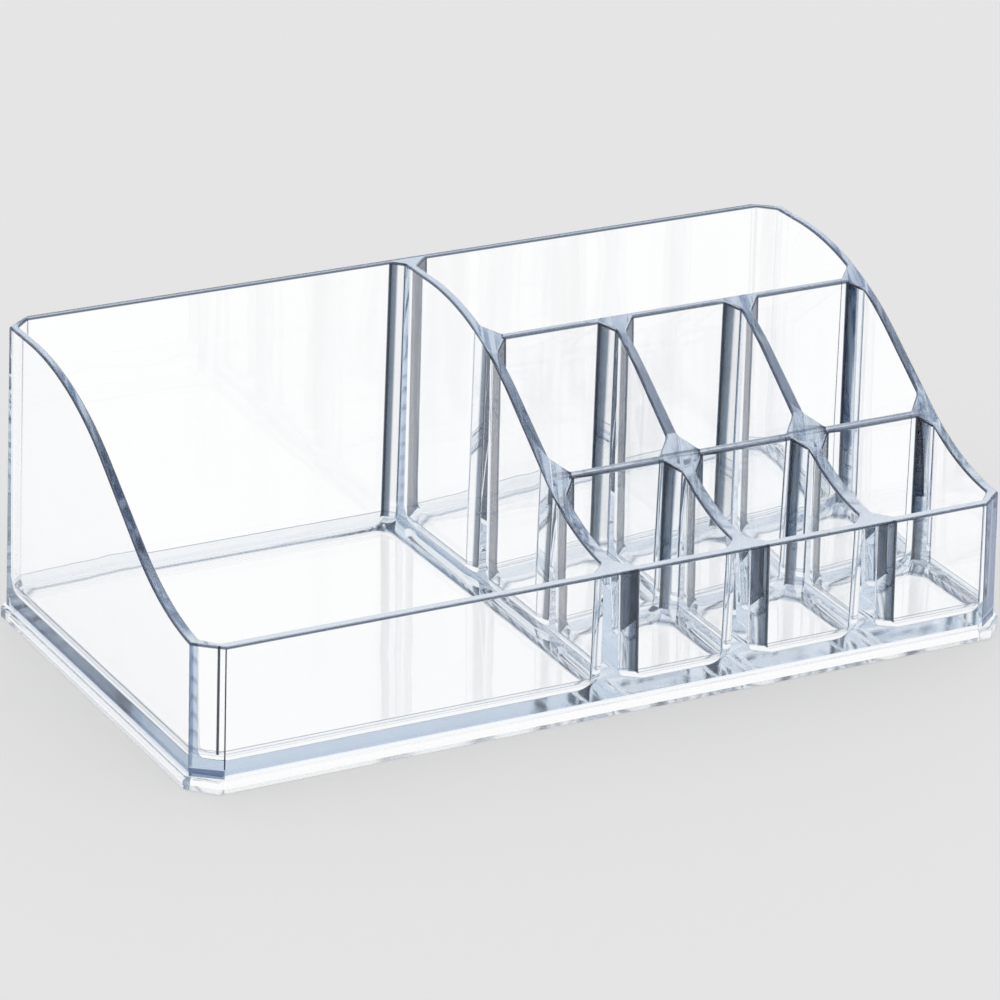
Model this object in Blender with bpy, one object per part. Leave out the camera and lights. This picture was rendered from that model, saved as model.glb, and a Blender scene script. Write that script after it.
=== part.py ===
"""A clear stepped organizer for a countertop, built from bonded panels.

Lengths are in metres. The panels are laid out from the front left corner of the body's foot: X runs along
the front, Y runs to the back and Z is the height above the table. The finished part is centred over the
origin.
"""

import math

import bmesh
import bpy
from mathutils import Matrix, Vector

# Outside of the body at its foot, and the heights of its top edge above the table.
BODY_LENGTH = 0.2269
BODY_DEPTH = 0.1226
FRONT_HEIGHT = 0.0370
BACK_HEIGHT = 0.0789
CORNER_CUT = 0.0054
OUTER_LEAN_DEGREES = 1.0

# Thickness of each kind of wall at its top. All get thicker towards the foot, by the draft on each face.
WALL_TOP_THICKNESS = 0.0022
DIVIDER_TOP_THICKNESS = 0.0024
CROSS_WALL_TOP_THICKNESS = 0.0017
DRAFT_DEGREES = 1.0

# The S-shaped top edge: a lower arc, a straight run and an upper arc, seen from the end.
RIM_START = 0.0009
LOWER_RIM_RADIUS = 0.0621
UPPER_RIM_RADIUS = 0.0782
RIM_SLOPE_DEGREES = 36.2
ARC_STEPS = 18

# Base frame and floor.
FLANGE_OVERHANG = 0.0015
FLANGE_THICKNESS = 0.0030
FLANGE_CORNER_CUT = 0.0066
FLANGE_FACET = 0.0012
FLANGE_EDGE_RADIUS = 0.0010
FRAME_WIDTH = 0.0035
EDGE_STEPS = 4
FLOOR_THICKNESS = 0.0022
GROOVE_DEPTH = 0.0010
TONGUE_THICKNESS = 0.0015
TONGUE_SETBACK = 0.0060

# Places of the dividers, centre to centre. The pockets are measured from the front and from the right end,
# so the large compartment takes the length that is left, and the back slot the depth.
MIDDLE_WALL_FROM_FRONT = 0.0370
ROW_PITCH = 0.03685
LAST_DIVIDER_FROM_END = 0.0394
COLUMN_PITCH = 0.03705
WEB_LEG = 0.0040

# Clearance left between two bonded pieces.
SEAM = 0.0003
# How far a cutting tool runs past the part.
CUT_MARGIN = 0.0100

LEAN = math.tan(math.radians(OUTER_LEAN_DEGREES))
DRAFT = math.tan(math.radians(DRAFT_DEGREES))
FLOOR_BOTTOM = FLANGE_THICKNESS + SEAM
FLOOR_TOP = FLOOR_BOTTOM + FLOOR_THICKNESS
WALL_FOOT = FLOOR_TOP + SEAM
GROOVE_BOTTOM = FLOOR_TOP - GROOVE_DEPTH
WALL_LIMIT = BACK_HEIGHT + CUT_MARGIN
# A wall turns by 45 degrees into its corner panel, and their mitre leans by half of that.
MITRE_DEGREES = 22.5
MITRE = math.tan(math.radians(MITRE_DEGREES))
MITRE_GAP = SEAM / math.cos(math.radians(MITRE_DEGREES))

MIDDLE_Y = MIDDLE_WALL_FROM_FRONT
REAR_Y = MIDDLE_Y + ROW_PITCH
POCKET_RIGHT_X = BODY_LENGTH - LAST_DIVIDER_FROM_END
POCKET_LEFT_X = POCKET_RIGHT_X - COLUMN_PITCH
TALL_X = POCKET_LEFT_X - COLUMN_PITCH

CLEAR_COLOUR = (0.86, 0.90, 0.95, 1.0)
CLEAR_ROUGHNESS = 0.04


def clear_scene():
    for obj in list(bpy.data.objects):
        bpy.data.objects.remove(obj, do_unlink=True)


def new_collection(name, helper=False):
    collection = bpy.data.collections.new(name)
    collection.hide_render = helper
    bpy.context.scene.collection.children.link(collection)
    return collection


def clear_material(name):
    material = bpy.data.materials.new(name)
    material.use_nodes = True
    shader = material.node_tree.nodes["Principled BSDF"]
    shader.inputs["Base Color"].default_value = CLEAR_COLOUR
    shader.inputs["Roughness"].default_value = CLEAR_ROUGHNESS
    shader.inputs["Metallic"].default_value = 0.0
    return material


def loft(name, rings, collection):
    """A closed body through rings of (outline, height), each counter-clockwise and of the same count."""
    shape = bmesh.new()
    levels = [[shape.verts.new((x, y, z)) for x, y in outline] for outline, z in rings]
    shape.faces.new(reversed(levels[0]))
    shape.faces.new(levels[-1])
    for low, high in zip(levels, levels[1:]):
        for i in range(len(low)):
            j = (i + 1) % len(low)
            shape.faces.new((low[i], low[j], high[j], high[i]))
    centre = Matrix.Translation(Vector((-BODY_LENGTH / 2, -BODY_DEPTH / 2, 0.0)))
    bmesh.ops.transform(shape, matrix=centre, verts=shape.verts)
    mesh = bpy.data.meshes.new(name)
    shape.to_mesh(mesh)
    shape.free()
    obj = bpy.data.objects.new(name, mesh)
    collection.objects.link(obj)
    return obj


def cutter(name, rings):
    obj = loft(name, rings, cutters)
    obj.hide_render = True
    obj.display_type = "WIRE"
    return obj


def subtract(obj, tool):
    modifier = obj.modifiers.new("cut_" + tool.name, "BOOLEAN")
    modifier.operation = "DIFFERENCE"
    modifier.solver = "EXACT"
    modifier.object = tool


def panel(name, rings, follows_rim=True):
    """One finished piece. A panel that follows the rim is cut to the S-shaped top edge."""
    obj = loft(name, rings, organizer)
    obj.data.materials.append(clear_material(name + "_clear"))
    if follows_rim:
        subtract(obj, above_rim)
    return obj


def box_outline(x0, x1, y0, y1):
    return [(x0, y0), (x1, y0), (x1, y1), (x0, y1)]


def cut_corners(outline, length):
    """The outline with every corner replaced by a straight facet that starts this far along each side."""
    result = []
    for i, corner in enumerate(outline):
        here = Vector(corner)
        for other in (outline[i - 1], outline[(i + 1) % len(outline)]):
            step = (Vector(other) - here).normalized() * length
            result.append(tuple(here + step))
    return result


def inset_at(height):
    """How far the leaning outer faces have come in at this height."""
    return LEAN * (height - FLANGE_THICKNESS)


def body_outline(height):
    inset = inset_at(height)
    sides = box_outline(inset, BODY_LENGTH - inset, inset, BODY_DEPTH - inset)
    return cut_corners(sides, CORNER_CUT)


def rim_profile():
    """(y, z) points of the S-shaped top edge, from the front to the back."""
    slope = math.radians(RIM_SLOPE_DEGREES)
    arcs_rise = (LOWER_RIM_RADIUS + UPPER_RIM_RADIUS) * (1 - math.cos(slope))
    straight_rise = BACK_HEIGHT - FRONT_HEIGHT - arcs_rise
    straight_run = straight_rise / math.tan(slope)
    crest = RIM_START + (LOWER_RIM_RADIUS + UPPER_RIM_RADIUS) * math.sin(slope) + straight_run
    points = []
    for i in range(ARC_STEPS + 1):
        angle = slope * i / ARC_STEPS
        y = RIM_START + LOWER_RIM_RADIUS * math.sin(angle)
        points.append((y, FRONT_HEIGHT + LOWER_RIM_RADIUS * (1 - math.cos(angle))))
    for i in range(ARC_STEPS, -1, -1):
        angle = slope * i / ARC_STEPS
        y = crest - UPPER_RIM_RADIUS * math.sin(angle)
        points.append((y, BACK_HEIGHT - UPPER_RIM_RADIUS * (1 - math.cos(angle))))
    return points


def rim_height(y):
    points = rim_profile()
    if y <= points[0][0]:
        return FRONT_HEIGHT
    for (y0, z0), (y1, z1) in zip(points, points[1:]):
        if y <= y1:
            return z0 + (z1 - z0) * (y - y0) / (y1 - y0)
    return BACK_HEIGHT


def above_rim_tool():
    """Everything above the S-shaped top edge, as one prism along X."""
    front, back = -CUT_MARGIN, BODY_DEPTH + CUT_MARGIN
    low = [(front, FRONT_HEIGHT)] + rim_profile() + [(back, BACK_HEIGHT)]
    profile = low + [(back, WALL_LIMIT + CUT_MARGIN), (front, WALL_LIMIT + CUT_MARGIN)]
    tool = cutter("above_rim", [(profile, -CUT_MARGIN), (profile, BODY_LENGTH + CUT_MARGIN)])
    # The prism is drawn in the XY plane and then stood up, so that its length runs along X.
    shift = Matrix.Translation(Vector((BODY_LENGTH / 2, BODY_DEPTH / 2, 0.0)))
    stand_up = Matrix(((0, 0, 1, 0), (1, 0, 0, 0), (0, 1, 0, 0), (0, 0, 0, 1)))
    tool.data.transform(shift.inverted() @ stand_up @ shift)
    return tool


def wall_thickness(height):
    return WALL_TOP_THICKNESS + DRAFT * (BACK_HEIGHT - height)


def divider_half(height):
    """Half the thickness of the lengthwise dividers."""
    return DIVIDER_TOP_THICKNESS / 2 + DRAFT * (BACK_HEIGHT - height)


def cross_half(y, height):
    """Half the thickness of the cross wall that stands here."""
    return CROSS_WALL_TOP_THICKNESS / 2 + DRAFT * (rim_height(y) - height)


def webs(stations):
    """(along, out) points of a face with a pair of corner webs at each (place, half thickness) received."""
    points = []
    for place, half_thickness in stations:
        half = half_thickness + SEAM
        points += [
            (place - half - WEB_LEG, 0.0),
            (place - half, WEB_LEG),
            (place - half, 0.0),
            (place + half, 0.0),
            (place + half, WEB_LEG),
            (place + half + WEB_LEG, 0.0),
        ]
    return points


def divider_stations(places, height):
    return [(place, divider_half(height)) for place in places]


def cross_stations(places, height):
    return [(place, cross_half(place, height)) for place in places]


# Each side of the body seen from outside: u runs along it to the right and v runs inward.
PLACE_ON_SIDE = {
    "front": lambda u, v: (u, v),
    "right": lambda u, v: (BODY_LENGTH - v, u),
    "back": lambda u, v: (BODY_LENGTH - u, BODY_DEPTH - v),
    "left": lambda u, v: (v, BODY_DEPTH - u),
}


def outer_wall(name, side, stations=lambda height: ()):
    """A leaning outer wall with mitred ends, and inside it corner webs for what it receives."""
    place = PLACE_ON_SIDE[side]
    length = BODY_LENGTH if side in ("front", "back") else BODY_DEPTH

    def outline(height):
        inset, deep = inset_at(height), wall_thickness(height)
        start = inset + CORNER_CUT + MITRE_GAP
        end = length - start
        face = inset + deep
        points = [(start, inset), (end, inset), (end - deep * MITRE, face)]
        points += [(u, face + out) for u, out in reversed(webs(stations(height)))]
        points.append((start + deep * MITRE, face))
        return [place(u, v) for u, v in points]

    return panel(name, [(outline(z), z) for z in (WALL_FOOT, WALL_LIMIT)])


def corner_panel(name, side):
    """The mitred strip between this side and the one to its left."""
    place = PLACE_ON_SIDE[side]

    def outline(height):
        near, deep = inset_at(height), wall_thickness(height)
        far = near + CORNER_CUT
        inner_near, inner_far = near + deep, far + deep * MITRE
        points = [(far, near), (inner_far, inner_near), (inner_near, inner_far), (near, far)]
        return [place(u, v) for u, v in points]

    return panel(name, [(outline(z), z) for z in (WALL_FOOT, WALL_LIMIT)])


def seat_in_floor(obj, x0, x1, y0, y1):
    """A tongue under the panel, over this footprint, and the groove that it sits in."""
    tongue_box = box_outline(x0, x1, y0, y1)
    tongue_foot, tongue_top = GROOVE_BOTTOM + SEAM, WALL_FOOT + SEAM
    tongue = cutter(obj.name + "_tongue", [(tongue_box, tongue_foot), (tongue_box, tongue_top)])
    joined = obj.modifiers.new("join_tongue", "BOOLEAN")
    joined.operation = "UNION"
    joined.solver = "EXACT"
    joined.object = tongue
    groove_box = box_outline(x0 - SEAM, x1 + SEAM, y0 - SEAM, y1 + SEAM)
    groove = cutter(obj.name + "_groove", [(groove_box, GROOVE_BOTTOM), (groove_box, FLOOR_TOP + SEAM)])
    subtract(floor_panel, groove)


def inner_face(height):
    """How far the inner faces of the outer walls lie inside the body's foot."""
    return inset_at(height) + wall_thickness(height)


def back_face(height):
    return BODY_DEPTH - inner_face(height)


def right_face(height):
    return BODY_LENGTH - inner_face(height)


def rear_wall_front(height):
    return REAR_Y - cross_half(REAR_Y, height)


def left_of(divider_x):
    return lambda height: divider_x - divider_half(height)


def right_of(divider_x):
    return lambda height: divider_x + divider_half(height)


def lengthwise_divider(name, x, back_end, right_walls=(), left_walls=()):
    """A divider from the front wall to the back, with corner webs on its sides for the walls it receives."""

    def outline(height):
        x0, x1 = left_of(x)(height), right_of(x)(height)
        y0, y1 = inner_face(height) + SEAM, back_end(height) - SEAM
        right = [(x1 + out, y) for y, out in webs(cross_stations(right_walls, height))]
        left = [(x0 - out, y) for y, out in reversed(webs(cross_stations(left_walls, height)))]
        return [(x0, y0), (x1, y0)] + right + [(x1, y1), (x0, y1)] + left

    obj = panel(name, [(outline(z), z) for z in (WALL_FOOT, WALL_LIMIT)])
    tongue_front = inner_face(FLOOR_TOP) + TONGUE_SETBACK
    tongue_back = back_end(FLOOR_TOP) - TONGUE_SETBACK
    half = TONGUE_THICKNESS / 2
    seat_in_floor(obj, x - half, x + half, tongue_front, tongue_back)
    return obj


def cross_wall(name, y, left_end, right_end, front_dividers=()):
    """A wall across the part, with corner webs on its front face for the dividers it receives."""

    def outline(height):
        x0, x1 = left_end(height) + SEAM, right_end(height) - SEAM
        y0, y1 = y - cross_half(y, height), y + cross_half(y, height)
        front = [(x, y0 - out) for x, out in webs(divider_stations(front_dividers, height))]
        return [(x0, y0)] + front + [(x1, y0), (x1, y1), (x0, y1)]

    obj = panel(name, [(outline(z), z) for z in (WALL_FOOT, rim_height(y) + CUT_MARGIN)])
    half = TONGUE_THICKNESS / 2
    tongue_left = left_end(FLOOR_TOP) + TONGUE_SETBACK
    tongue_right = right_end(FLOOR_TOP) - TONGUE_SETBACK
    seat_in_floor(obj, tongue_left, tongue_right, y - half, y + half)
    return obj


def base_frame():
    """The flanged frame that the floor rests on, with its top edge rounded over and its middle open."""

    def outline(inset):
        out = FLANGE_OVERHANG - inset
        sides = box_outline(-out, BODY_LENGTH + out, -out, BODY_DEPTH + out)
        return cut_corners(cut_corners(sides, FLANGE_CORNER_CUT), FLANGE_FACET)

    rings = [(outline(0.0), 0.0)]
    for i in range(EDGE_STEPS + 1):
        angle = math.radians(90) * i / EDGE_STEPS
        inset = FLANGE_EDGE_RADIUS * (1 - math.cos(angle))
        height = FLANGE_THICKNESS - FLANGE_EDGE_RADIUS * (1 - math.sin(angle))
        rings.append((outline(inset), height))
    frame = panel("base_frame", rings, follows_rim=False)
    inside = FRAME_WIDTH - FLANGE_OVERHANG
    opening = box_outline(inside, BODY_LENGTH - inside, inside, BODY_DEPTH - inside)
    opening = cut_corners(opening, CORNER_CUT)
    tool = cutter("frame_opening", [(opening, -CUT_MARGIN), (opening, FLANGE_THICKNESS + CUT_MARGIN)])
    subtract(frame, tool)


clear_scene()
organizer = new_collection("pyramid_organizer")
cutters = new_collection("cutters", helper=True)
above_rim = above_rim_tool()

base_frame()
floor_panel = panel(
    "floor_panel", [(body_outline(z), z) for z in (FLOOR_BOTTOM, FLOOR_TOP)], follows_rim=False
)

outer_wall(
    "front_wall", "front", lambda z: divider_stations((TALL_X, POCKET_LEFT_X, POCKET_RIGHT_X), z)
)
outer_wall("right_end_wall", "right", lambda z: cross_stations((MIDDLE_Y, REAR_Y), z))
outer_wall("back_wall", "back", lambda z: divider_stations((BODY_LENGTH - TALL_X,), z))
outer_wall("left_end_wall", "left")
corner_panel("corner_panel_front_left", "front")
corner_panel("corner_panel_front_right", "right")
corner_panel("corner_panel_back_right", "back")
corner_panel("corner_panel_back_left", "left")

lengthwise_divider("tall_divider", TALL_X, back_face, right_walls=(MIDDLE_Y, REAR_Y))
for name, x in (("pocket_divider_left", POCKET_LEFT_X), ("pocket_divider_right", POCKET_RIGHT_X)):
    lengthwise_divider(name, x, rear_wall_front, (MIDDLE_Y,), (MIDDLE_Y,))

cross_wall(
    "rear_cross_wall", REAR_Y, right_of(TALL_X), right_face, (POCKET_LEFT_X, POCKET_RIGHT_X)
)
cross_wall("middle_cross_wall_left", MIDDLE_Y, right_of(TALL_X), left_of(POCKET_LEFT_X))
cross_wall("middle_cross_wall_centre", MIDDLE_Y, right_of(POCKET_LEFT_X), left_of(POCKET_RIGHT_X))
cross_wall("middle_cross_wall_right", MIDDLE_Y, right_of(POCKET_RIGHT_X), right_face)
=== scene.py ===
"""The looks of a clear stepped organizer for a countertop: one moulded body on a flanged base."""

import math

import bmesh
import bpy
from mathutils import Euler, Matrix, Vector


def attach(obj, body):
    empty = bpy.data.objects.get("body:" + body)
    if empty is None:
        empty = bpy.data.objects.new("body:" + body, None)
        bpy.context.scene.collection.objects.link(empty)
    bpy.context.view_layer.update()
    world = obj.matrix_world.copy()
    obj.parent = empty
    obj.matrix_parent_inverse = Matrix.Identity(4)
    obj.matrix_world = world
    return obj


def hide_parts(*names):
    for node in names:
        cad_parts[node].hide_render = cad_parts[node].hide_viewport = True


# Sizes in metres, the same as the solids have. The body is laid out from the front left corner of its foot.
BODY_LENGTH = 0.2269
BODY_DEPTH = 0.1226
FRONT_HEIGHT = 0.0370
BACK_HEIGHT = 0.0789
CORNER_CUT = 0.0054
OUTER_LEAN_DEGREES = 1.0
WALL_TOP_THICKNESS = 0.0022
DIVIDER_TOP_THICKNESS = 0.0024
CROSS_WALL_TOP_THICKNESS = 0.0017
DRAFT_DEGREES = 1.0
RIM_START = 0.0009
LOWER_RIM_RADIUS = 0.0621
UPPER_RIM_RADIUS = 0.0782
RIM_SLOPE_DEGREES = 36.2
FLANGE_OVERHANG = 0.0015
FLANGE_THICKNESS = 0.0030
FLANGE_CORNER_CUT = 0.0066
FLANGE_EDGE_RADIUS = 0.0010
FLOOR_UNDERSIDE = 0.0033
FLOOR_TOP = 0.0055
FRAME_WIDTH = 0.0035
MIDDLE_WALL_FROM_FRONT = 0.0370
ROW_PITCH = 0.03685
LAST_DIVIDER_FROM_END = 0.0394
COLUMN_PITCH = 0.03705
WEB_LEG = 0.0040

# Forms that only the moulded surface has.
CORNER_RADIUS = 0.0008
FLANGE_CORNER_RADIUS = 0.0018
WEB_RADIUS = 0.0012
FLOOR_FILLET = 0.0040
RIM_ROUNDING = 0.0007
# The outer facets reach further along the front and the back than along the ends.
FACET_REACH = 0.0069
# The web at the back right of each pocket is shorter. Those beside the tall divider's back end differ most.
SHORT_WEB_LEG = 0.0033
TALL_LEFT_WEB_LEG = 0.0029
TALL_RIGHT_WEB_LEG = 0.0050
# What a compartment's corners gain in radius where its walls curve in to the floor, as a share of that curve.
FLOOR_ROUNDING_SHARE = 0.6
# The most that a facet's ends are rounded, as a share of the facet's leg.
FACET_ROUND_SHARE = 1.5
# What a 45 degree facet's leg loses when its outline moves in, as a share of that move.
FACET_LOSS_SHARE = 2 - math.sqrt(2)

# How many steps the curves have, and about how long the steps along an edge are.
ARC_STEPS = 36
ROUND_STEPS = 4
FLANGE_CORNER_STEPS = 5
FILLET_STEPS = 8
RIM_ROUND_STEPS = 6
STEP_LENGTH = 0.0020
# How often a leaning wall's point under the top edge is worked out anew.
RIM_SEARCH_STEPS = 4
# How far the bodies that cut the moulded one reach past it.
CUT_MARGIN = 0.0100
# The base band and its blur end this far under the floor's top.
BAND_GAP = 0.0003

LEAN = math.tan(math.radians(OUTER_LEAN_DEGREES))
DRAFT = math.tan(math.radians(DRAFT_DEGREES))
CUT_TOP = BACK_HEIGHT + CUT_MARGIN
BAND_TOP = FLOOR_TOP - BAND_GAP
MIDDLE_Y = MIDDLE_WALL_FROM_FRONT
REAR_Y = MIDDLE_Y + ROW_PITCH
POCKET_RIGHT_X = BODY_LENGTH - LAST_DIVIDER_FROM_END
POCKET_LEFT_X = POCKET_RIGHT_X - COLUMN_PITCH
TALL_X = POCKET_LEFT_X - COLUMN_PITCH

# Shading stays smooth over edges that bend by less than this.
SHARP_ANGLE_DEGREES = 35.0

# The clear plastic, its slight waves, and how much its top edge and its base blur the light.
PLASTIC_IOR = 1.49
ABSORPTION_COLOUR = (0.15, 0.40, 0.66, 1.0)
ABSORPTION_DENSITY = 4.5
WAVES_PER_METRE = 42.0
WAVE_HEIGHT = 0.00014
WAVE_DETAIL = 1.0
WAVE_ROUGHNESS = 0.4
RIM_ROUGHNESS = 0.08
BASE_ROUGHNESS = 0.08

# Painted shade: colours painted into the clear plastic where its edges and corners bend the light, standing
# in for the dark that they show.
CLEAR = (1.0, 1.0, 1.0)
RIM_PAINTED_SHADE = (0.62, 0.68, 0.78)
EDGE_PAINTED_SHADE = (0.03, 0.05, 0.09)
STEEP_PAINTED_SHADE = (0.08, 0.11, 0.17)
CORNER_EDGE_PAINTED_SHADE = (0.05, 0.08, 0.13)
CORNER_PAINTED_SHADE = (0.0004, 0.0010, 0.0030)
SIDE_CORNER_PAINTED_SHADE = (0.25, 0.31, 0.42)
FACET_PAINTED_SHADE = (0.95, 0.97, 0.99)
STRIP_PAINTED_SHADE = (0.24, 0.30, 0.42)
FRONT_RIGHT_WEB_PAINTED_SHADE = (0.006, 0.010, 0.020)
FRONT_RIGHT_CORNER_PAINTED_SHADE = (0.15, 0.20, 0.30)
FRONT_BAND_PAINTED_SHADE = (0.90, 0.93, 0.97)
CORNER_BAND_PAINTED_SHADE = (0.06, 0.10, 0.20)
END_BAND_PAINTED_SHADE = (0.50, 0.58, 0.72)
FOOT_PAINTED_SHADE = (0.84, 0.88, 0.92)
FOOT_LINE_PAINTED_SHADE = (0.09, 0.13, 0.20)

# Where the painted shade lies, as (value, colour). On the top edge's rounding the value is 0 at the wall and
# 1 on top.
RIM_STOPS = ((0.0, CLEAR), (0.25, EDGE_PAINTED_SHADE), (0.70, EDGE_PAINTED_SHADE), (1.0, RIM_PAINTED_SHADE))
# Along the top edge and in the rounding at the floor it is the upward part of the normal.
STEEP_STOPS = ((0.80, STEEP_PAINTED_SHADE), (0.95, CLEAR))
FOOT_STOPS = (
    (0.03, CLEAR),
    (0.06, FOOT_LINE_PAINTED_SHADE),
    (0.14, FOOT_PAINTED_SHADE),
    (0.90, FOOT_PAINTED_SHADE),
    (0.96, FOOT_LINE_PAINTED_SHADE),
    (0.995, CLEAR),
)
# In the corners and the base band it is 0 towards the front or back, 0.5 at 45 degrees and 1 at the ends.
WEB_STOPS = (
    (0.0625, CLEAR),
    (0.09, CORNER_EDGE_PAINTED_SHADE),
    (0.20, CORNER_PAINTED_SHADE),
    (0.46, CORNER_PAINTED_SHADE),
    (0.495, CORNER_EDGE_PAINTED_SHADE),
    (0.505, FACET_PAINTED_SHADE),
    (0.56, FACET_PAINTED_SHADE),
    (0.66, SIDE_CORNER_PAINTED_SHADE),
    (0.88, SIDE_CORNER_PAINTED_SHADE),
    (0.937, CLEAR),
)
INSIDE_CORNER_STOPS = (
    (0.0625, CLEAR),
    (0.09, CORNER_EDGE_PAINTED_SHADE),
    (0.15, CORNER_PAINTED_SHADE),
    (0.40, CORNER_PAINTED_SHADE),
    (0.45, CLEAR),
    (0.72, CLEAR),
    (0.76, SIDE_CORNER_PAINTED_SHADE),
    (0.90, SIDE_CORNER_PAINTED_SHADE),
    (0.937, CLEAR),
)
OUTSIDE_CORNER_STOPS = (
    (0.0625, CLEAR),
    (0.12, CORNER_PAINTED_SHADE),
    (0.34, CORNER_PAINTED_SHADE),
    (0.385, CLEAR),
    (0.446, CLEAR),
    (0.452, STRIP_PAINTED_SHADE),
    (0.88, STRIP_PAINTED_SHADE),
    (0.937, CLEAR),
)
BAND_STOPS = (
    (0.05, FRONT_BAND_PAINTED_SHADE),
    (0.30, CORNER_BAND_PAINTED_SHADE),
    (0.62, CORNER_BAND_PAINTED_SHADE),
    (0.95, END_BAND_PAINTED_SHADE),
)

# Where a cross wall meets another wall, the top edge keeps its lighter painted shade within this reach.
CROSSING_REACH = 0.0052
# A place belongs to one of the body's own corners within this reach of both an end and the front or back.
OUTER_CORNER_REACH = 0.0140
# The share of their painted shade that the two back ones show.
BACK_CORNER_SHARE = 0.15
# A facet faces the front right where its normal reaches further than this to the right and to the front.
FRONT_RIGHT_LIMIT = 0.3
# A face counts as upright where the vertical part of its normal is smaller than this.
UPRIGHT_LIMIT = 0.5

WHITE = (1.0, 1.0, 1.0, 1.0)
FLOOR_COLOUR = (0.78, 0.78, 0.78, 1.0)
FLOOR_ROUGHNESS = 0.6
FLOOR_HALF_WIDTH = 4.0
# The studio floor lies this far under the body.
FLOOR_GAP = 0.0003
# The share of the floor's colour that the camera sees without the object's shadow.
SHADOWLESS_SHARE = 0.6
# How often the light may bounce in the clear plastic, and off dull surfaces.
CLEAR_BOUNCES = 48
DIFFUSE_BOUNCES = 4

# The photo's viewpoint, with the length of the lens in sensor widths.
CAMERA_PLACE = (-0.56861, -1.05038, 0.52833)
CAMERA_TURN_DEGREES = (67.479, -1.377, -27.805)
CAMERA_LENS_WIDTHS = 5.0963
SENSOR_WIDTH_MM = 36.0
CAMERA_REACH = 100.0


def box_outline(x0, x1, y0, y1):
    return [(x0, y0), (x1, y0), (x1, y1), (x0, y1)]


def cut_corners(outline, pairs):
    """The outline with a facet at each corner, which starts this far along the sides before and after it."""
    result = []
    for i, (corner, pair) in enumerate(zip(outline, pairs)):
        here = Vector(corner)
        for other, length in zip((outline[i - 1], outline[(i + 1) % len(outline)]), pair):
            result.append(tuple(here + (Vector(other) - here).normalized() * length))
    return result


def even_pairs(lengths):
    """The same length before and after each corner."""
    return [(length, length) for length in lengths]


def round_corners(outline, radius, steps=ROUND_STEPS):
    """The outline with each corner replaced by a tangent arc."""
    result = []
    for i, corner in enumerate(outline):
        here = Vector(corner)
        back = (Vector(outline[i - 1]) - here).normalized()
        ahead = (Vector(outline[(i + 1) % len(outline)]) - here).normalized()
        half = back.angle(ahead) / 2
        middle = (back + ahead).normalized()
        centre = here + middle * (radius / math.sin(half))
        first = here + back * (radius / math.tan(half)) - centre
        turn = (math.pi - 2 * half) * (1 if back.cross(ahead) < 0 else -1)
        for k in range(steps + 1):
            spoke = Matrix.Rotation(turn * k / steps, 2) @ first
            result.append(tuple(centre + spoke))
    return result


def edges(outline):
    return zip(outline, outline[1:] + outline[:1])


def edge_counts(outline):
    """How many steps each edge of the outline is divided into."""
    lengths = [(Vector(end) - Vector(start)).length for start, end in edges(outline)]
    return [max(1, round(length / STEP_LENGTH)) for length in lengths]


def divided(outline, counts):
    """The outline with each of its edges divided into this many."""
    points = []
    for (start, end), count in zip(edges(outline), counts):
        points += [tuple(Vector(start).lerp(Vector(end), k / count)) for k in range(count)]
    return points


def quarter_turn(steps):
    """The angles that divide a quarter turn into this many steps."""
    return [math.radians(90) * k / steps for k in range(steps + 1)]


def level(outline, height):
    return [(x, y, height) for x, y in outline]


def loft(name, rings):
    """A closed body through rings of points, each counter-clockwise and of the same count."""
    shape = bmesh.new()
    levels = [[shape.verts.new(point) for point in ring] for ring in rings]
    shape.faces.new(reversed(levels[0]))
    shape.faces.new(levels[-1])
    for low, high in zip(levels, levels[1:]):
        for i in range(len(low)):
            j = (i + 1) % len(low)
            shape.faces.new((low[i], low[j], high[j], high[i]))
    centre = Matrix.Translation(Vector((-BODY_LENGTH / 2, -BODY_DEPTH / 2, 0.0)))
    bmesh.ops.transform(shape, matrix=centre, verts=shape.verts)
    mesh = bpy.data.meshes.new(name)
    shape.to_mesh(mesh)
    shape.free()
    obj = bpy.data.objects.new(name, mesh)
    bpy.context.scene.collection.objects.link(obj)
    return obj


def inset_at(height):
    """How far the outside has leaned in at this height."""
    return LEAN * (height - FLANGE_THICKNESS)


def wall_thickness(height):
    return WALL_TOP_THICKNESS + DRAFT * (BACK_HEIGHT - height)


def inner_face(height):
    """The x of the left end wall's inner face, and the y of the front wall's."""
    return inset_at(height) + wall_thickness(height)


def at_right(height):
    return BODY_LENGTH - inner_face(height)


def at_back(height):
    return BODY_DEPTH - inner_face(height)


def beside_divider(x, side):
    """The x of a divider's face, -1 for the left and 1 for the right one, as a function of the height."""
    return lambda height: x + side * (DIVIDER_TOP_THICKNESS / 2 + DRAFT * (BACK_HEIGHT - height))


def beside_cross(y, side):
    """The y of a cross wall's face, -1 for the front and 1 for the back one, as a function of the height."""
    return lambda height: y + side * (CROSS_WALL_TOP_THICKNESS / 2 + DRAFT * (rim_height(y) - height))


def outer_corner(height):
    """The leg of the facet inside an outer corner, a wall's thickness behind the one that the solids have."""
    return CORNER_CUT - FACET_LOSS_SHARE * wall_thickness(height)


def steady(length):
    """A facet's leg that is the same at every height, as a function of the height."""
    return lambda height: length


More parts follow.
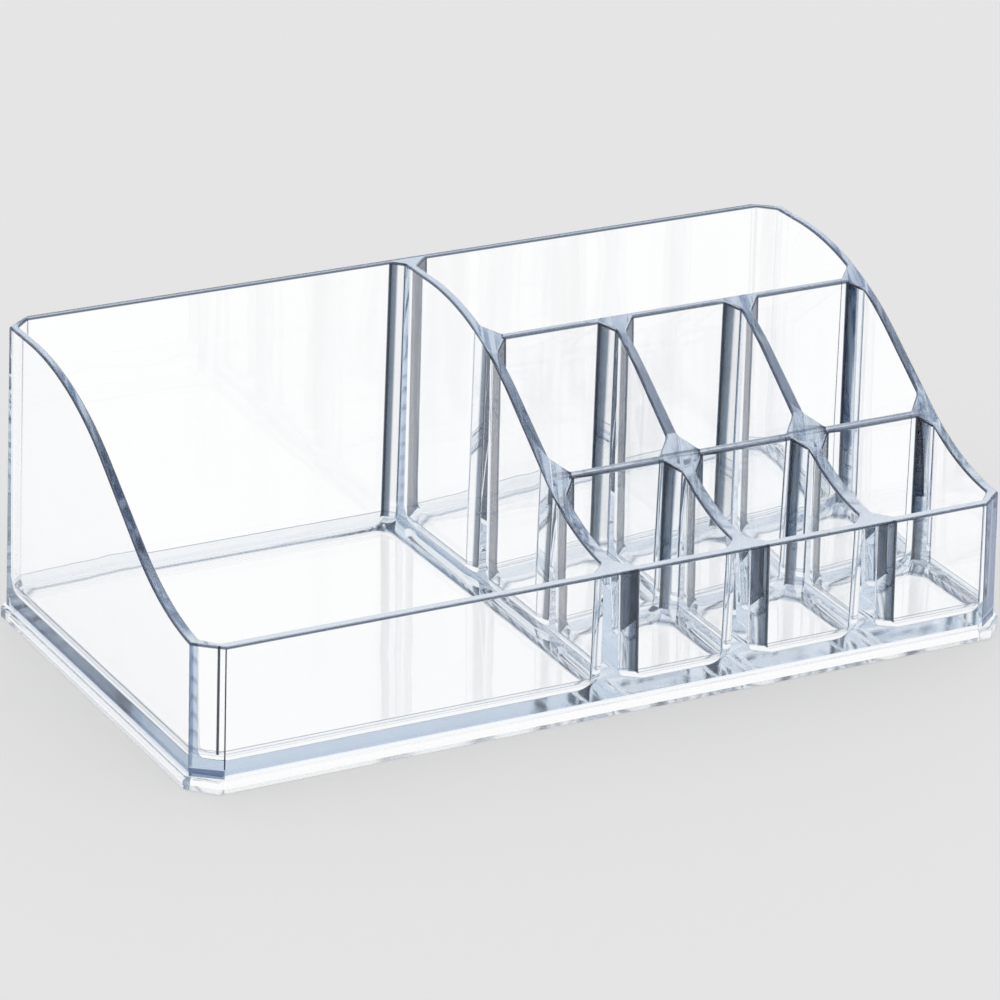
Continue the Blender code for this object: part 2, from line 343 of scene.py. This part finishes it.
def rim_profile():
    """(y, z) points of the S-shaped top edge, from the front to the back."""
    slope = math.radians(RIM_SLOPE_DEGREES)
    arcs_rise = (LOWER_RIM_RADIUS + UPPER_RIM_RADIUS) * (1 - math.cos(slope))
    straight_run = (BACK_HEIGHT - FRONT_HEIGHT - arcs_rise) / math.tan(slope)
    crest = RIM_START + (LOWER_RIM_RADIUS + UPPER_RIM_RADIUS) * math.sin(slope) + straight_run
    angles = [slope * i / ARC_STEPS for i in range(ARC_STEPS + 1)]
    points = []
    for angle in angles:
        y = RIM_START + LOWER_RIM_RADIUS * math.sin(angle)
        points.append((y, FRONT_HEIGHT + LOWER_RIM_RADIUS * (1 - math.cos(angle))))
    for angle in reversed(angles):
        y = crest - UPPER_RIM_RADIUS * math.sin(angle)
        points.append((y, BACK_HEIGHT - UPPER_RIM_RADIUS * (1 - math.cos(angle))))
    return points


def rim_height(y):
    """The height of the S-shaped top edge at this y."""
    points = rim_profile()
    for (y0, z0), (y1, z1) in zip(points, points[1:]):
        if y0 <= y <= y1:
            return z0 + (z1 - z0) * (y - y0) / (y1 - y0)
    return FRONT_HEIGHT if y < points[0][0] else BACK_HEIGHT


def above_rim():
    """Everything above the S-shaped top edge, as one prism along X."""
    front, back = -CUT_MARGIN, BODY_DEPTH + CUT_MARGIN
    edge = [(front, FRONT_HEIGHT)] + rim_profile() + [(back, BACK_HEIGHT)]
    profile = edge + [(back, CUT_TOP + CUT_MARGIN), (front, CUT_TOP + CUT_MARGIN)]
    tool = loft("above_rim", [level(profile, -CUT_MARGIN), level(profile, BODY_LENGTH + CUT_MARGIN)])
    # The prism is drawn in the XY plane and then stood up, so that its length runs along X.
    shift = Matrix.Translation(Vector((BODY_LENGTH / 2, BODY_DEPTH / 2, 0.0)))
    stand_up = Matrix(((0, 0, 1, 0), (1, 0, 0, 0), (0, 1, 0, 0), (0, 0, 0, 1)))
    tool.data.transform(shift.inverted() @ stand_up @ shift)
    return tool


def rim_rings(outline_at, outward):
    """Rings that round the S-shaped top edge over and then run straight up.

    They move out from the outline where outward is 1, and in where it is -1.
    """
    low, high = outline_at(0.0), outline_at(BACK_HEIGHT)
    feet = []
    for bottom, top in zip(low, high):
        height = BACK_HEIGHT
        for _ in range(RIM_SEARCH_STEPS):
            foot = Vector(bottom).lerp(Vector(top), height / BACK_HEIGHT)
            height = rim_height(foot.y)
        feet.append(foot)
    normals = []
    for i, foot in enumerate(feet):
        along = (feet[(i + 1) % len(feet)] - feet[i - 1]).normalized()
        normals.append(Vector((along.y, -along.x)))
    rings = []
    for angle in quarter_turn(RIM_ROUND_STEPS)[:-1]:
        drop = RIM_ROUNDING * (1 - math.sin(angle))
        shift = RIM_ROUNDING * (1 - math.cos(angle)) * outward
        moved = [foot + normal * shift for foot, normal in zip(feet, normals)]
        rings.append([(x, y, rim_height(y) - drop) for x, y in moved])
    rings.append(level(moved, CUT_TOP))
    return rings


def outer_shell():
    """The body without its flange, still solid and higher than its top edge."""

    def undivided(height):
        inset = inset_at(height)
        sides = box_outline(inset, BODY_LENGTH - inset, inset, BODY_DEPTH - inset)
        pairs = [(CORNER_CUT, FACET_REACH), (FACET_REACH, CORNER_CUT)] * 2
        return round_corners(cut_corners(sides, pairs), CORNER_RADIUS)

    foot = FLANGE_THICKNESS / 2
    counts = edge_counts(undivided(foot))

    def outline_at(height):
        return divided(undivided(height), counts)

    return loft("moulded_body", [level(outline_at(foot), foot)] + rim_rings(outline_at, -1))


def base_flange():
    """The frame that the body stands on, still solid, with a rounded upper edge."""

    def outline(inset):
        out = FLANGE_OVERHANG - inset
        sides = box_outline(-out, BODY_LENGTH + out, -out, BODY_DEPTH + out)
        facets = cut_corners(sides, even_pairs([FLANGE_CORNER_CUT] * 4))
        return round_corners(facets, FLANGE_CORNER_RADIUS, FLANGE_CORNER_STEPS)

    rings = [level(outline(0.0), 0.0)]
    for angle in quarter_turn(FILLET_STEPS):
        inset = FLANGE_EDGE_RADIUS * (1 - math.cos(angle))
        height = FLANGE_THICKNESS - FLANGE_EDGE_RADIUS * (1 - math.sin(angle))
        rings.append(level(outline(inset), height))
    return loft("base_flange", rings)


def base_recess():
    """The hollow under the floor, inside the base frame."""
    inset = FRAME_WIDTH - FLANGE_OVERHANG
    sides = box_outline(inset, BODY_LENGTH - inset, inset, BODY_DEPTH - inset)
    outline = round_corners(cut_corners(sides, even_pairs([CORNER_CUT] * 4)), WEB_RADIUS)
    return loft("base_recess", [level(outline, -CUT_MARGIN), level(outline, FLOOR_UNDERSIDE)])


def cavity(name, left, right, front, back, cuts):
    """The inside of one compartment, with drafted faces, faceted corners and a rounded edge at the floor.

    The cuts are the legs of the facets, counter-clockwise from the front left.
    """

    def undivided(height, inset=0.0):
        sides = box_outline(
            left(height) + inset, right(height) - inset, front(height) + inset, back(height) - inset
        )
        legs = [cut(height) for cut in cuts]
        radius = min(WEB_RADIUS + FLOOR_ROUNDING_SHARE * inset, FACET_ROUND_SHARE * min(legs))
        return round_corners(cut_corners(sides, even_pairs(legs)), radius)

    counts = edge_counts(undivided(FLOOR_TOP))
    rings = []
    for angle in quarter_turn(FILLET_STEPS):
        inset = FLOOR_FILLET * (1 - math.sin(angle))
        height = FLOOR_TOP + FLOOR_FILLET * (1 - math.cos(angle))
        rings.append(level(divided(undivided(height, inset), counts), height))
    rings += rim_rings(lambda height: divided(undivided(height), counts), 1)
    return loft(name, rings)


def cavities():
    """The insides of the large compartment, the back slot and the two rows of pockets."""
    tall_left, tall_right = beside_divider(TALL_X, -1), beside_divider(TALL_X, 1)
    rear_front, rear_back = beside_cross(REAR_Y, -1), beside_cross(REAR_Y, 1)
    middle_front, middle_back = beside_cross(MIDDLE_Y, -1), beside_cross(MIDDLE_Y, 1)
    web, short, outer = steady(WEB_LEG), steady(SHORT_WEB_LEG), outer_corner
    large_cuts = (outer, web, steady(TALL_LEFT_WEB_LEG), outer)
    slot_cuts = (web, web, outer, steady(TALL_RIGHT_WEB_LEG))
    tools = [
        cavity("large", inner_face, tall_left, inner_face, at_back, large_cuts),
        cavity("slot", tall_right, at_right, rear_back, at_back, slot_cuts),
    ]
    columns = (
        (tall_right, beside_divider(POCKET_LEFT_X, -1), web),
        (beside_divider(POCKET_LEFT_X, 1), beside_divider(POCKET_RIGHT_X, -1), web),
        (beside_divider(POCKET_RIGHT_X, 1), at_right, outer),
    )
    for i, (left, right, front_right) in enumerate(columns):
        front_cuts = (web, front_right, short, web)
        tools.append(cavity(f"front_{i}", left, right, inner_face, middle_front, front_cuts))
        tools.append(cavity(f"rear_{i}", left, right, middle_back, rear_front, (web, web, short, web)))
    return tools


def combine(obj, operation, tools):
    """Adds a Boolean modifier for each of these objects."""
    for tool in tools:
        modifier = obj.modifiers.new(tool.name, "BOOLEAN")
        modifier.operation = operation
        modifier.solver = "EXACT"
        modifier.object = tool


def bake_modifiers(obj):
    """Replaces the object's mesh by its evaluated one and drops its modifiers."""
    graph = bpy.context.evaluated_depsgraph_get()
    mesh = bpy.data.meshes.new_from_object(obj.evaluated_get(graph))
    obj.modifiers.clear()
    obj.data = mesh


def even_normals(obj):
    """Smooth shading that keeps the large faces flat and bends only the roundings."""
    obj.data.shade_smooth()
    obj.data.set_sharp_from_angle(angle=math.radians(SHARP_ANGLE_DEGREES))
    weighted = obj.modifiers.new("weighted_normals", "WEIGHTED_NORMAL")
    weighted.mode = "FACE_AREA"
    weighted.keep_sharp = True
    bake_modifiers(obj)


def moulded_body():
    body = outer_shell()
    flange = base_flange()
    hollows = [above_rim(), base_recess()] + cavities()
    combine(body, "UNION", [flange])
    combine(body, "DIFFERENCE", hollows)
    bake_modifiers(body)
    for tool in [flange] + hollows:
        bpy.data.objects.remove(tool, do_unlink=True)
    mark_edges(body)
    even_normals(body)
    return body


def rim_value(place):
    """1 on the top edge, falling to 0 where its rounding meets a wall and at the back of the back wall."""
    if BODY_DEPTH / 2 - place.y < inset_at(BACK_HEIGHT) + RIM_ROUNDING:
        return 0.0
    drop = rim_height(place.y + BODY_DEPTH / 2) - place.z
    return min(max(1 - drop / RIM_ROUNDING, 0.0), 1.0)


def thin_value(place):
    """0 where a cross wall meets a divider or the right end wall, and 1 elsewhere."""
    x, y = place.x + BODY_LENGTH / 2, place.y + BODY_DEPTH / 2
    beside = min(abs(x - line) for line in (TALL_X, POCKET_LEFT_X, POCKET_RIGHT_X, BODY_LENGTH))
    behind = min(abs(y - line) for line in (MIDDLE_Y, REAR_Y))
    return 0.0 if max(beside, behind) < CROSSING_REACH else 1.0


def turn_value(normal):
    """0 where the surface faces the front or the back, 0.5 on a 45 degree facet and 1 at the ends."""
    return math.atan2(abs(normal.x), abs(normal.y)) / (math.pi / 2)


def front_right_value(normal):
    """1 on the facets that face the front right."""
    return 1.0 if min(normal.x, -normal.y) > FRONT_RIGHT_LIMIT else 0.0


def at_outer_corner(place):
    """Whether a place belongs to one of the body's own corners."""
    beside = BODY_LENGTH / 2 - abs(place.x)
    behind = BODY_DEPTH / 2 - abs(place.y)
    return max(beside, behind) < OUTER_CORNER_REACH


def web_value(place):
    """1 where the corners are webs between inner walls, 0 at the body's own corners."""
    return 0.0 if at_outer_corner(place) else 1.0


def outer_value(place):
    """How strongly the body's own corners take their painted shade: the front ones fully, the back ones
    hardly.
    """
    if not at_outer_corner(place):
        return 0.0
    return 1.0 if place.y < 0 else BACK_CORNER_SHARE


def outside_value(place, normal):
    """1 on the body's own outer facets."""
    outward = min(normal.x * place.x, normal.y * place.y) > 0
    return 1.0 if outward and at_outer_corner(place) else 0.0


def mark_edges(obj):
    """Stores what the painted shade of the rims and corners needs with each point of the mesh."""
    mesh = obj.data
    values = {
        "rim": [rim_value(vertex.co) for vertex in mesh.vertices],
        "thin": [thin_value(vertex.co) for vertex in mesh.vertices],
        "turn": [turn_value(vertex.normal) for vertex in mesh.vertices],
        "front_right": [front_right_value(vertex.normal) for vertex in mesh.vertices],
        "web": [web_value(vertex.co) for vertex in mesh.vertices],
        "outer": [outer_value(vertex.co) for vertex in mesh.vertices],
        "outside": [outside_value(vertex.co, vertex.normal) for vertex in mesh.vertices],
    }
    for name, numbers in values.items():
        mesh.attributes.new(name, "FLOAT", "POINT").data.foreach_set("value", numbers)


def linked_node(tree, kind, sources, **settings):
    """A new node whose inputs are linked to these outputs, or set where a number is given."""
    node = tree.nodes.new(kind)
    for name, value in settings.items():
        setattr(node, name, value)
    for socket, source in sources.items():
        if isinstance(source, bpy.types.NodeSocket):
            tree.links.new(source, node.inputs[socket])
        else:
            node.inputs[socket].default_value = source
    return node


def calculated(tree, operation, *sources):
    """The result of one Math node on these outputs or numbers."""
    return linked_node(tree, "ShaderNodeMath", dict(enumerate(sources)), operation=operation).outputs[0]


def product(tree, first, second):
    return calculated(tree, "MULTIPLY", first, second)


def between(tree, value, least, most):
    """1 where the value lies between these two, 0 elsewhere."""
    above = calculated(tree, "GREATER_THAN", value, least)
    below = calculated(tree, "LESS_THAN", value, most)
    return product(tree, above, below)


def colour_product(tree, first, second):
    sources = {0: first, 1: second}
    return linked_node(tree, "ShaderNodeVectorMath", sources, operation="MULTIPLY").outputs[0]


def opaque(colour):
    return (*colour, 1.0)


def mixed(tree, share, first, second):
    """The second colour over the first, by this share."""
    sources = {0: share, 1: first, 2: second}
    return linked_node(tree, "ShaderNodeMixRGB", sources).outputs[0]


def over_clear(tree, share, colour):
    return mixed(tree, share, opaque(CLEAR), colour)


def ramp(tree, factor, stops):
    """A colour ramp with these (value, colour) stops."""
    node = tree.nodes.new("ShaderNodeValToRGB")
    elements = node.color_ramp.elements
    for value, _ in stops[len(elements):]:
        elements.new(value)
    for element, (value, colour) in zip(elements, stops):
        element.position = value
        element.color = opaque(colour)
    tree.links.new(factor, node.inputs["Fac"])
    return node.outputs["Color"]


def attribute(tree, name):
    return linked_node(tree, "ShaderNodeAttribute", {}, attribute_name=name).outputs["Fac"]


def vertical_part(tree, output):
    """The vertical part of the Geometry node's Position or Normal."""
    geometry = tree.nodes.new("ShaderNodeNewGeometry")
    return linked_node(tree, "ShaderNodeSeparateXYZ", {0: geometry.outputs[output]}).outputs["Z"]


def tilt_value(tree):
    """0 on the surfaces that stand upright, 1 on those that lie flat."""
    return calculated(tree, "ABSOLUTE", vertical_part(tree, "Normal"))


def upright_value(tree):
    return calculated(tree, "LESS_THAN", tilt_value(tree), UPRIGHT_LIMIT)


def painted_rim_shade(tree):
    """Painted shade on the top edge, darker along its roundings and where it runs steeply."""
    rim = attribute(tree, "rim")
    steep = ramp(tree, vertical_part(tree, "Normal"), STEEP_STOPS)
    shade = over_clear(tree, product(tree, rim, attribute(tree, "thin")), steep)
    return colour_product(tree, ramp(tree, rim, RIM_STOPS), shade)


def painted_corner_shade(tree):
    """Painted shade in the upright corners, darkest where a rounding turns a wall into a facet."""
    turn = attribute(tree, "turn")
    front_right = attribute(tree, "front_right")
    web = mixed(tree, front_right, ramp(tree, turn, WEB_STOPS), opaque(FRONT_RIGHT_WEB_PAINTED_SHADE))
    outside = mixed(
        tree, front_right, ramp(tree, turn, OUTSIDE_CORNER_STOPS), opaque(FRONT_RIGHT_CORNER_PAINTED_SHADE)
    )
    outer = mixed(tree, attribute(tree, "outside"), ramp(tree, turn, INSIDE_CORNER_STOPS), outside)
    raised = calculated(tree, "GREATER_THAN", vertical_part(tree, "Position"), FLOOR_TOP)
    wall_share = product(tree, upright_value(tree), raised)
    web_share = product(tree, attribute(tree, "web"), wall_share)
    outer_share = product(tree, attribute(tree, "outer"), wall_share)
    return mixed(tree, outer_share, over_clear(tree, web_share, web), outer)


def painted_band_shade(tree):
    """Painted shade along the foot of the outer walls, standing in for what is seen through the edge of the
    floor.
    """
    band = between(tree, vertical_part(tree, "Position"), FLANGE_THICKNESS, BAND_TOP)
    colour = ramp(tree, attribute(tree, "turn"), BAND_STOPS)
    return over_clear(tree, product(tree, band, upright_value(tree)), colour)


def painted_foot_shade(tree):
    """Painted shade in the rounding between a compartment's walls and its floor."""
    inside = between(tree, vertical_part(tree, "Position"), BAND_TOP, FLOOR_TOP + FLOOR_FILLET)
    return over_clear(tree, inside, ramp(tree, tilt_value(tree), FOOT_STOPS))


def moulded_waviness(tree):
    """The slight waves that a moulded surface keeps, as a normal."""
    place = tree.nodes.new("ShaderNodeTexCoord").outputs["Object"]
    sources = {"Vector": place, "Scale": WAVES_PER_METRE, "Detail": WAVE_DETAIL, "Roughness": WAVE_ROUGHNESS}
    noise = linked_node(tree, "ShaderNodeTexNoise", sources)
    bump = linked_node(tree, "ShaderNodeBump", {"Distance": WAVE_HEIGHT, "Height": noise.outputs["Fac"]})
    return bump.outputs[0]


def edge_roughness(tree):
    """The walls are polished. The top edge and the base blur the light a little."""
    base = calculated(tree, "LESS_THAN", vertical_part(tree, "Position"), BAND_TOP)
    at_rim = product(tree, attribute(tree, "rim"), RIM_ROUGHNESS)
    at_base = product(tree, base, BASE_ROUGHNESS)
    return calculated(tree, "MAXIMUM", at_rim, at_base)


def clear_plastic(name):
    material = bpy.data.materials.new(name)
    material.use_nodes = True
    tree = material.node_tree
    shader = tree.nodes["Principled BSDF"]
    shader.inputs["IOR"].default_value = PLASTIC_IOR
    shader.inputs["Transmission Weight"].default_value = 1.0
    # Painted shade of the top edge, corners, base band and foot, multiplied into the clear plastic's colour.
    upper = colour_product(tree, painted_rim_shade(tree), painted_corner_shade(tree))
    lower = colour_product(tree, painted_band_shade(tree), painted_foot_shade(tree))
    tree.links.new(colour_product(tree, upper, lower), shader.inputs["Base Color"])
    tree.links.new(edge_roughness(tree), shader.inputs["Roughness"])
    tree.links.new(moulded_waviness(tree), shader.inputs["Normal"])
    absorption = tree.nodes.new("ShaderNodeVolumeAbsorption")
    absorption.inputs["Color"].default_value = ABSORPTION_COLOUR
    absorption.inputs["Density"].default_value = ABSORPTION_DENSITY
    tree.links.new(absorption.outputs["Volume"], tree.nodes["Material Output"].inputs["Volume"])
    return material


def add_camera():
    data = bpy.data.cameras.new("camera")
    data.sensor_width = SENSOR_WIDTH_MM
    data.lens = CAMERA_LENS_WIDTHS * data.sensor_width
    data.clip_end = CAMERA_REACH
    obj = bpy.data.objects.new("camera", data)
    obj.location = CAMERA_PLACE
    obj.rotation_euler = Euler([math.radians(angle) for angle in CAMERA_TURN_DEGREES], "XYZ")
    bpy.context.scene.collection.objects.link(obj)
    bpy.context.scene.camera = obj


def mixed_shader(tree, share, first, second):
    """The second shader over the first, by this share."""
    return linked_node(tree, "ShaderNodeMixShader", {0: share, 1: first.outputs[0], 2: second.outputs[0]})


def pale_floor():
    """A pale material that keeps a soft shadow and shows white through the clear plastic."""
    material = bpy.data.materials.new("pale_floor")
    material.use_nodes = True
    tree = material.node_tree
    shader = tree.nodes["Principled BSDF"]
    shader.inputs["Base Color"].default_value = FLOOR_COLOUR
    shader.inputs["Roughness"].default_value = FLOOR_ROUGHNESS
    path = tree.nodes.new("ShaderNodeLightPath")
    pale = linked_node(tree, "ShaderNodeEmission", {"Color": FLOOR_COLOUR})
    white = linked_node(tree, "ShaderNodeEmission", {"Color": WHITE})
    lift_share = product(tree, path.outputs["Is Camera Ray"], SHADOWLESS_SHARE)
    lifted = mixed_shader(tree, lift_share, shader, pale)
    seen = mixed_shader(tree, path.outputs["Is Transmission Ray"], lifted, white)
    tree.links.new(seen.outputs[0], tree.nodes["Material Output"].inputs["Surface"])
    return material


def add_studio_floor():
    half = FLOOR_HALF_WIDTH
    mesh = bpy.data.meshes.new("studio_floor")
    mesh.from_pydata(level(box_outline(-half, half, -half, half), -FLOOR_GAP), [], [(0, 1, 2, 3)])
    mesh.materials.append(pale_floor())
    obj = bpy.data.objects.new("studio_floor", mesh)
    bpy.context.scene.collection.objects.link(obj)


def add_world():
    """A plain white light from all sides."""
    world = bpy.data.worlds.new("studio")
    world.use_nodes = True
    shader = world.node_tree.nodes["Background"]
    shader.inputs["Color"].default_value = WHITE
    shader.inputs["Strength"].default_value = 1.0
    bpy.context.scene.world = world


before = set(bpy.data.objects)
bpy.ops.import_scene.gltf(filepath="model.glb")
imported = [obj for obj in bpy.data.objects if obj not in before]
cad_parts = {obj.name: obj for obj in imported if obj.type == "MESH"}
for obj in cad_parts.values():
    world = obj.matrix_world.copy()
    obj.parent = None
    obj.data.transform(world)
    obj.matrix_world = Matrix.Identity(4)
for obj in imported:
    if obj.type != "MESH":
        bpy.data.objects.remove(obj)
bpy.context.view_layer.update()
add_camera()

body = moulded_body()
body.data.materials.clear()
body.data.materials.append(clear_plastic("clear_body"))
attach(body, "root")
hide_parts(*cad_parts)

add_studio_floor()
add_world()
scene = bpy.context.scene
scene.view_settings.view_transform = "Standard"
scene.cycles.max_bounces = CLEAR_BOUNCES
scene.cycles.transmission_bounces = CLEAR_BOUNCES
scene.cycles.glossy_bounces = CLEAR_BOUNCES
scene.cycles.diffuse_bounces = DIFFUSE_BOUNCES
